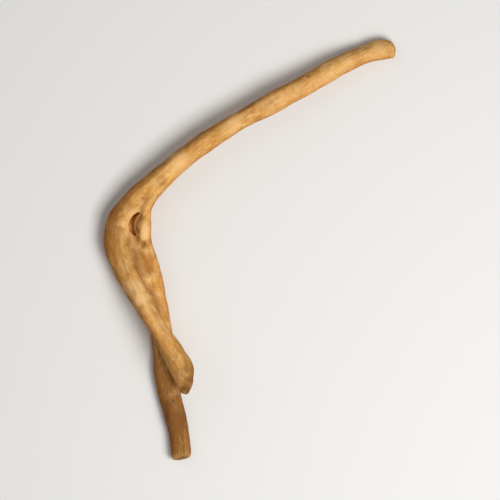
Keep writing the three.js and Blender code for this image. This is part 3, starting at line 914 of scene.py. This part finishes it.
def cut_skin(points, faces, marks):
    """The whole skin as a mesh with an edge line along each parting plane, marked as a seam."""
    mesh = bpy.data.meshes.new("skin")
    mesh.from_pydata(points.tolist(), [], faces.tolist())
    for name, values in marks.items():
        store(mesh, name, values)
    store(mesh, "outward", point_normals(points, faces))
    skin = bmesh.new()
    skin.from_mesh(mesh)
    for at, normal, reach in parting_planes():
        at, normal = Vector(at), Vector(normal).normalized()
        near_faces = []
        for face in skin.faces:
            off = face.verts[0].co - at
            if off.length < reach and abs(off.dot(normal)) < SEAM_DEPTH:
                near_faces.append(face)
        verts = {vert for face in near_faces for vert in face.verts}
        edges = {edge for face in near_faces for edge in face.edges}
        cut = bmesh.ops.bisect_plane(
            skin, geom=[*verts, *edges, *near_faces], dist=ON_PLANE, plane_co=at, plane_no=normal
        )
        for item in cut["geom_cut"]:
            if isinstance(item, bmesh.types.BMEdge):
                item.seam = True
    skin.to_mesh(mesh)
    skin.free()
    return mesh


def part_skin(mesh):
    """The faces and seam of the skin as arrays, with the group that each face belongs to."""
    sizes = read(mesh.polygons, "loop_total", np.int32)
    corner_edges = read(mesh.loops, "edge_index", np.int32)
    seam = read(mesh.edges, "use_seam", bool)
    face_of = np.repeat(np.arange(len(sizes)), sizes)
    order = np.argsort(corner_edges, kind="stable")
    sorted_edges = corner_edges[order]
    same = sorted_edges[1:] == sorted_edges[:-1]
    pairs = np.stack([face_of[order[:-1]][same], face_of[order[1:]][same]], axis=1)
    pairs = pairs[~seam[sorted_edges[1:][same]]]
    return {
        "points": read(mesh.vertices, "co", width=3).astype(float),
        "starts": read(mesh.polygons, "loop_start", np.int32),
        "sizes": sizes,
        "corners": read(mesh.loops, "vertex_index", np.int32),
        "seam": seam[corner_edges],
        "face_of": face_of,
        "group": grouped(len(sizes), pairs),
    }


_wood = {}


def wood_skin(shape):
    """Draws, dresses and parts the whole skin once, and keeps it for the pieces that follow."""
    if _wood:
        return _wood
    cell = shape.cell * 1
    join_grain()
    points, faces = draw_surface(cell)
    points = even_out(points, faces, *EVENINGS[0])
    points, faces = split_faces(points, faces)
    points = even_out(points, faces, *EVENINGS[1])
    points, marks = dress_surface(shape, points, faces)
    mesh = cut_skin(points, faces, marks)
    _wood.update(part_skin(mesh))
    _wood["marks"] = {name: fetch(mesh, name) for name in marks}
    _wood["outward"] = fetch(mesh, "outward")
    bpy.data.meshes.remove(mesh)
    return _wood


def piece_faces(wood, name):
    """Numbers of the skin's faces that belong to one piece."""
    limb, row = PARTS[name]
    corner_points = wood["points"][wood["corners"]]
    gap = np.linalg.norm(corner_points - limb.at[row * SPAN_STEPS], axis=1)
    chosen = wood["group"][wood["face_of"][gap.argmin()]]
    return np.flatnonzero(wood["group"] == chosen)


def rim_in_order(pairs):
    """The points round a parted end, the way that its flat face runs."""
    before = {b: a for a, b in pairs.tolist()}
    loop = [int(pairs[0, 0])]
    while before[loop[-1]] != loop[0]:
        loop.append(before[loop[-1]])
    return loop


def placed(name, data):
    """A new object of the scene that holds this mesh, light or camera."""
    thing = bpy.data.objects.new(name, data)
    bpy.context.scene.collection.objects.link(thing)
    return thing


def build_piece(shape, name):
    """One closed piece of the wood, with flat faces where it meets its neighbours."""
    wood = wood_skin(shape)
    chosen = piece_faces(wood, name)
    in_piece = np.zeros(len(wood["sizes"]), bool)
    in_piece[chosen] = True
    if in_piece.all():
        raise RuntimeError(f"{name} isn't parted from the rest of the wood")
    used_corners = in_piece[wood["face_of"]]
    used = np.unique(wood["corners"][used_corners])
    number = np.full(len(wood["points"]), -1)
    number[used] = np.arange(len(used))
    corners = number[wood["corners"]]
    faces = [
        corners[start : start + size].tolist()
        for start, size in zip(wood["starts"][chosen], wood["sizes"][chosen])
    ]
    following = np.arange(len(corners)) + 1
    following[wood["starts"] + wood["sizes"] - 1] = wood["starts"]
    rim = np.flatnonzero(used_corners & wood["seam"])
    rim_pairs = np.stack([corners[rim], corners[following[rim]]], axis=1)
    ring = grouped(len(used), rim_pairs)[rim_pairs[:, 0]]
    points = wood["points"][used]
    marks = {key: values[used] for key, values in wood["marks"].items()}
    outward = list(wood["outward"][used])
    corner_normals = [outward[corner] for face in faces for corner in face]
    for one in np.unique(ring):
        loop = rim_in_order(rim_pairs[ring == one])
        rim_points = points[loop]
        facing = unit(np.cross(rim_points, np.roll(rim_points, -1, axis=0)).sum(0))
        faces.append(loop)
        corner_normals += [facing] * len(loop)
    mesh = bpy.data.meshes.new(name)
    mesh.from_pydata(points.tolist(), [], faces)
    for key, values in marks.items():
        store(mesh, key, values)
    mesh.shade_smooth()
    mesh.normals_split_custom_set(np.array(corner_normals).tolist())
    return placed(f"driftwood_{name}", mesh)


# The finish of the wood

# Noise of the finish: wave along and across the grain, detail, roughness, warp
GRAIN_NOISES = {
    "patches": (34, 13, 3, 0.5, 0.4),
    "clouds": (12, 6.8, 3, 0.55, 0.5),
    "mottle": (5, 3, 3, 0.6, 0.6),
    "speckle": (2.4, 1.3, 2, 0.55, 0.3),
    "streaks": (30, 2.1, 3, 0.6, 0.4),
    "fibres": (12, 0.62, 2, 0.5, 0),
    "flecks": (3.4, 0.9, 1, 0.4, 0),
}
HONEY_TO_TAN = (0.38, 0.60)

# Coats of colour from first to last: noise or mark, where it starts and is full, strength, colour
COATS = (
    ("clouds", 0.52, 0.70, 0.75, "amber"),
    ("clouds", 0.45, 0.31, 0.60, "pale"),
    ("mottle", 0.52, 0.68, 0.52, "amber"),
    ("mottle", 0.46, 0.31, 0.48, "pale"),
    ("speckle", 0.56, 0.70, 0.55, "amber"),
    ("speckle", 0.42, 0.28, 0.35, "pale"),
    ("streaks", 0.53, 0.72, 0.42, "brown"),
    ("fibres", 0.53, 0.72, 0.30, "brown"),
    ("fibres", 0.47, 0.30, 0.26, "pale"),
    ("flecks", 0.70, 0.79, 0.50, "brown"),
    # Pale worn wood, partly painted highlights
    ("worn", 0, 1, 1, "pale"),
    # Dull brown, partly painted shade
    ("dull_and_shade", 0, 1, 1, "dull_and_shade"),
    ("stain", 0, 1, 1, "stain"),
    ("furrow", 0.42, 0.10, 0.30, "brown"),
    # Painted shade on flanks and in sheltered places
    ("flank_shade", 0, 1, 0.86, "shade"),
    ("shelter_shade", 0.10, 0.75, 0.40, "shade"),
    ("crest", 0.1, 1, 0.30, "pale"),
    ("rings", 0.1, 0.9, 0.80, "brown"),
    # Painted shade in creases, crevices, checks and shade patches, with the knots' own dark
    ("crease", 0, 1, 1, "brown"),
    ("crevice", 0.25, 0.95, 0.35, "brown"),
    ("dark", 0.08, 0.95, 0.85, "umber"),
)

# Marks that a noise breaks up: the noise, where it starts and is full, the share that is always left
BROKEN_UP = {
    "worn": ("mottle", 0.66, 0.40, 0.64),
    "dull_and_shade": ("mottle", 0.30, 0.62, 0.62),
    "stain": ("mottle", 0.30, 0.60, 0.45),
    "flank_shade": ("clouds", 0.35, 0.65, 0.62),
}

# Rougher places: noise or mark, where it starts and is full, how much rougher
ROUGHER = (("fibres", 0.4, 0.7, 0.08), ("crevice", 0.2, 0.8, 0.15), ("flank_shade", 0.2, 1, 0.25))
ROUGHNESS_CLOUDS = (0.3, 0.7)
ROUGHNESS_SWING = (-0.06, 0.07)
WOOD_SPECULAR, FLOOR_SPECULAR = 0.10, 0.2

# Fine relief of the finish: what raises it, and where and how deep the flecks are sunk
RAISED = (("fibres", 0.6), ("streaks", 0.8))
SUNK_FLECKS = (0.62, 0.74, 0.0, 0.5)
BUMP_STRENGTH = 0.55
BUMP_DISTANCE = 0.14 * MM


class Nodes:
    """Short calls that add shader nodes and feed their sockets."""

    def __init__(self, tree):
        self.tree = tree

    def feed(self, socket, value):
        """Sets a socket, or joins the output of another node to it."""
        if isinstance(value, bpy.types.NodeSocket):
            self.tree.links.new(value, socket)
        else:
            socket.default_value = value

    def add(self, kind, inputs, output=0, **settings):
        """The output of a new node with these inputs."""
        node = self.tree.nodes.new(kind)
        for key, value in settings.items():
            setattr(node, key, value)
        for key, value in inputs.items():
            self.feed(node.inputs[key], value)
        return node.outputs[output]

    def mark(self, name, output="Fac"):
        return self.add("ShaderNodeAttribute", {}, output, attribute_name=name)

    def maths(self, operation, a, b, clamp=False):
        return self.add("ShaderNodeMath", {0: a, 1: b}, operation=operation, use_clamp=clamp)

    def range(self, value, low, high, to_low=0.0, to_high=1.0):
        ends = {"From Min": low, "From Max": high, "To Min": to_low, "To Max": to_high}
        return self.add("ShaderNodeMapRange", {"Value": value, **ends})

    def grain_noise(self, along, across, detail, roughness, warp):
        """Noise drawn out along the grain."""
        scale = [1 / (wave * MM) for wave in (along, across, across)]
        place = self.add("ShaderNodeMapping", {"Vector": self.mark("grain", "Vector"), "Scale": scale})
        settings = {"Scale": 1.0, "Detail": detail, "Roughness": roughness, "Distortion": warp}
        return self.add("ShaderNodeTexNoise", {"Vector": place, **settings})

    def mix(self, share, below, above):
        """One colour laid over another. Sockets 6 and 7 take the colours, and 2 gives the result."""
        return self.add("ShaderNodeMix", {0: share, 6: below, 7: above}, 2, data_type="RGBA")


def new_finish(name):
    material = bpy.data.materials.new(name)
    material.use_nodes = True
    return material, material.node_tree.nodes["Principled BSDF"]


def driftwood_finish(look):
    """Satin, washed wood: honey tan with drawn-out grain, flecks and stains, painted shade on flanks and in
    crevices, and painted highlights.
    """
    material = bpy.data.materials.get("washed_driftwood")
    if material:
        return material
    material, shader = new_finish("washed_driftwood")
    n = Nodes(material.node_tree)
    noises = {name: n.grain_noise(*settings) for name, settings in GRAIN_NOISES.items()}

    def source(name):
        return noises[name] if name in noises else n.mark(name)

    def paint(name):
        return (*getattr(look, name), 1.0)

    colour = n.mix(n.range(noises["patches"], *HONEY_TO_TAN), paint("honey"), paint("tan"))
    for name, start, full, strength, coat in COATS:
        share = source(name)
        if name in BROKEN_UP:
            breaker, breaks, whole, least = BROKEN_UP[name]
            share = n.maths("MULTIPLY", share, n.range(noises[breaker], breaks, whole, least, 1.0))
        colour = n.mix(n.range(share, start, full, 0.0, strength), colour, paint(coat))
    smooth, coarse = (look.roughness + swing for swing in ROUGHNESS_SWING)
    rough = n.range(noises["clouds"], *ROUGHNESS_CLOUDS, smooth, coarse)
    for name, start, full, more in ROUGHER:
        rough = n.maths("ADD", rough, n.range(source(name), start, full, 0.0, more), clamp=True)
    raised = [n.maths("MULTIPLY", noises[name], share) for name, share in RAISED]
    height = n.maths("SUBTRACT", n.maths("ADD", *raised), n.range(noises["flecks"], *SUNK_FLECKS))
    bump = {"Strength": BUMP_STRENGTH, "Distance": BUMP_DISTANCE, "Height": height}
    n.feed(shader.inputs["Base Color"], colour)
    n.feed(shader.inputs["Roughness"], rough)
    n.feed(shader.inputs["Normal"], n.add("ShaderNodeBump", bump, "Normal"))
    shader.inputs["Specular IOR Level"].default_value = WOOD_SPECULAR
    return material


def plain_finish(name, colour, roughness):
    material, shader = new_finish(name)
    shader.inputs["Base Color"].default_value = (*colour, 1.0)
    shader.inputs["Roughness"].default_value = roughness
    shader.inputs["Specular IOR Level"].default_value = FLOOR_SPECULAR
    return material


# Sizes and colours that a user would change

def amount(name, description, default, low, high, **kind):
    return FloatProperty(name=name, description=description, default=default, min=low, max=high, **kind)


def colour_property(name, description, default):
    return FloatVectorProperty(
        name=name, description=description, default=default, min=0.0, max=1.0, size=3, subtype="COLOR")


def fine_length(name, description, default, low, high):
    """A length given in millimetres, kept in metres."""
    return amount(name, description, default * MM, low * MM, high * MM, precision=5, unit="LENGTH")


class DriftwoodShape(bpy.types.PropertyGroup):
    """Relief of the wood's surface."""

    cell: fine_length("Cell", "Side of the cells that the skin is drawn in, before it is split", 0.92, 0.7, 4)
    swell_height: fine_length("Swell height", "Height of the soft uneven swells along the limbs", 0.32, 0, 1)
    furrow_depth: fine_length("Furrow depth", "Depth of the furrows between bands of grain", 0.13, 0, 0.5)
    dent_depth: fine_length("Dent depth", "Depth of the small dents and scrapes", 0.13, 0, 0.5)
    grain_depth: fine_length("Grain depth", "Depth of the fine raised grain", 0.06, 0, 0.3)
    ring_depth: fine_length("Ring depth", "Depth of the growth rings on the cut ends", 0.08, 0, 0.3)
    ring_pitch: fine_length("Ring pitch", "Space between two growth rings", 1.1, 0.5, 4)
    check_strength: amount(
        "Check strength", "Share of their full depth that drying checks have", 1, 0, 1.5, subtype="FACTOR")


class DriftwoodLook(bpy.types.PropertyGroup):
    """Colours and gloss of the wood."""

    honey: colour_property("Honey", "Main colour of the washed wood", (0.80, 0.417, 0.110))
    tan: colour_property("Tan", "Second colour, in wide patches", (0.69, 0.325, 0.078))
    amber: colour_property("Amber", "Warm clouds in the wood", (0.57, 0.232, 0.042))
    # Also the painted highlights of worn patches and the eye's walls
    pale: colour_property("Pale", "Worn crests and light fibres", (0.95, 0.592, 0.245))
    # Also the painted shade in creases and crevices
    brown: colour_property("Brown", "Streaks of darker grain", (0.30, 0.130, 0.030))
    # Also painted shade
    dull_and_shade: colour_property("Dull", "Places that stayed brown", (0.25, 0.109, 0.026))
    # Painted shade on flanks and in sheltered places
    shade: colour_property("Shade", "Flanks and sheltered places", (0.27, 0.092, 0.018))
    # Also the painted shade of checks and shade patches
    umber: colour_property("Umber", "Checks and knots", (0.115, 0.038, 0.0060))
    stain: colour_property("Stain", "Orange-brown stains", (0.47, 0.180, 0.030))
    roughness: amount("Roughness", "Roughness of the satin surface", 0.58, 0.2, 1, subtype="FACTOR")


class DriftwoodStage(bpy.types.PropertyGroup):
    """Floor, lights and view."""

    floor_colour: colour_property("Floor", "Colour of the plain floor", (0.83, 0.82, 0.80))
    floor_size: amount("Floor size", "Side of the floor", 8, 1, 20, unit="LENGTH")
    view_width: amount("View width", "Width of floor that the camera takes in", 0.335, 0.1, 2, unit="LENGTH")
    view_height: amount("View height", "Height of the camera above the floor", 2.4, 0.3, 6, unit="LENGTH")
    key_power: amount("Key power", "Power of the main light", 12.5, 0, 100, unit="POWER")
    fill_power: amount("Fill power", "Power of the softer light across from it", 1.5, 0, 100, unit="POWER")
    sky_strength: amount("Sky strength", "Strength of the even light from all round", 0.20, 0, 2)


# One operator for each piece, and one for the stage

def make_piece(context, name):
    scene = context.scene
    piece = build_piece(scene.driftwood_shape, name)
    piece.data.materials.append(driftwood_finish(scene.driftwood_look))
    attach(piece, "root")
    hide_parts(name)
    return {"FINISHED"}


class DRIFTWOOD_OT_upper_limb(bpy.types.Operator):
    """Build the long bowed limb, from its cut end to the fork above the eye"""

    bl_idname = "driftwood.upper_limb"
    bl_label = "Upper limb"

    def execute(self, context):
        return make_piece(context, "upper_limb")


class DRIFTWOOD_OT_stem(bpy.types.Operator):
    """Build the thick knee with the fused wood round the lower half of the eye"""

    bl_idname = "driftwood.stem"
    bl_label = "Stem"

    def execute(self, context):
        return make_piece(context, "stem")


class DRIFTWOOD_OT_front_limb(bpy.types.Operator):
    """Build the limb that rises from the lower fork and ends in a blunt club"""

    bl_idname = "driftwood.front_limb"
    bl_label = "Front limb"

    def execute(self, context):
        return make_piece(context, "front_limb")


class DRIFTWOOD_OT_back_limb(bpy.types.Operator):
    """Build the limb that passes under the front limb and ends on the floor"""

    bl_idname = "driftwood.back_limb"
    bl_label = "Back limb"

    def execute(self, context):
        return make_piece(context, "back_limb")


# Place and size of each light, in metres
KEY_LIGHT = (0.44, -0.30, 1.08), 0.60
FILL_LIGHT = (-0.60, 0.45, 0.80), 1.0
SURROUND_COLOUR = (1.0, 0.99, 0.97, 1.0)
FLOOR_ROUGHNESS = 0.9
SENSOR_WIDTH = 36.0


def soft_light(name, place, size, target, power):
    """A square light that faces the target."""
    data = bpy.data.lights.new(name, "AREA")
    data.shape = "SQUARE"
    data.size = size
    data.energy = power
    light = placed(name, data)
    light.location = place
    light.rotation_euler = (target - Vector(place)).to_track_quat("-Z", "Y").to_euler()


class DRIFTWOOD_OT_stage(bpy.types.Operator):
    """Lay the pale floor, set the soft lights and hang the camera straight above the branch"""

    bl_idname = "driftwood.stage"
    bl_label = "Stage"

    def execute(self, context):
        scene = context.scene
        stage = scene.driftwood_stage
        half = stage.floor_size / 2
        mesh = bpy.data.meshes.new("floor")
        corners = [(-half, -half, 0), (half, -half, 0), (half, half, 0), (-half, half, 0)]
        mesh.from_pydata(corners, [], [(0, 1, 2, 3)])
        mesh.materials.append(plain_finish("pale_floor", stage.floor_colour, FLOOR_ROUGHNESS))
        floor = placed("floor", mesh)
        low, high = CAD_BOX
        centre = (low + high) / 2
        soft_light("key_light", *KEY_LIGHT, centre, stage.key_power)
        soft_light("fill_light", *FILL_LIGHT, centre, stage.fill_power)
        world = bpy.data.worlds.new("pale_surround")
        world.use_nodes = True
        background = world.node_tree.nodes["Background"]
        background.inputs["Color"].default_value = SURROUND_COLOUR
        background.inputs["Strength"].default_value = stage.sky_strength
        scene.world = world
        data = bpy.data.cameras.new("camera")
        data.sensor_width = SENSOR_WIDTH
        data.lens = data.sensor_width * (stage.view_height - high.z / 2) / stage.view_width
        camera = placed("camera", data)
        camera.location = (centre.x, centre.y, stage.view_height)
        scene.camera = camera
        scene.view_settings.view_transform = "Standard"
        return {"FINISHED"}


GROUPS = {
    "driftwood_shape": DriftwoodShape,
    "driftwood_look": DriftwoodLook,
    "driftwood_stage": DriftwoodStage,
}
STEPS = (
    DRIFTWOOD_OT_upper_limb,
    DRIFTWOOD_OT_stem,
    DRIFTWOOD_OT_front_limb,
    DRIFTWOOD_OT_back_limb,
    DRIFTWOOD_OT_stage,
)


class DRIFTWOOD_PT_panel(bpy.types.Panel):
    """The branch's sizes, colours and steps"""

    bl_idname = "DRIFTWOOD_PT_panel"
    bl_label = "Driftwood branch"
    bl_space_type = "VIEW_3D"
    bl_region_type = "UI"
    bl_category = "Driftwood"

    def draw(self, context):
        for name in GROUPS:
            group = getattr(context.scene, name)
            box = self.layout.box()
            box.label(text=name.split("_")[1].capitalize())
            for key in group.__annotations__:
                box.prop(group, key)
        for step in STEPS:
            self.layout.operator(step.bl_idname)


CLASSES = (*GROUPS.values(), *STEPS, DRIFTWOOD_PT_panel)


def register():
    for item in CLASSES:
        bpy.utils.register_class(item)
    for name, group in GROUPS.items():
        setattr(bpy.types.Scene, name, PointerProperty(type=group))


def unregister():
    for name in GROUPS:
        delattr(bpy.types.Scene, name)
    for item in reversed(CLASSES):
        bpy.utils.unregister_class(item)


def main():
    register()
    bpy.ops.driftwood.upper_limb()
    bpy.ops.driftwood.stem()
    bpy.ops.driftwood.front_limb()
    bpy.ops.driftwood.back_limb()
    bpy.ops.driftwood.stage()
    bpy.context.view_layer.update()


if __name__ == "__main__":
    main()
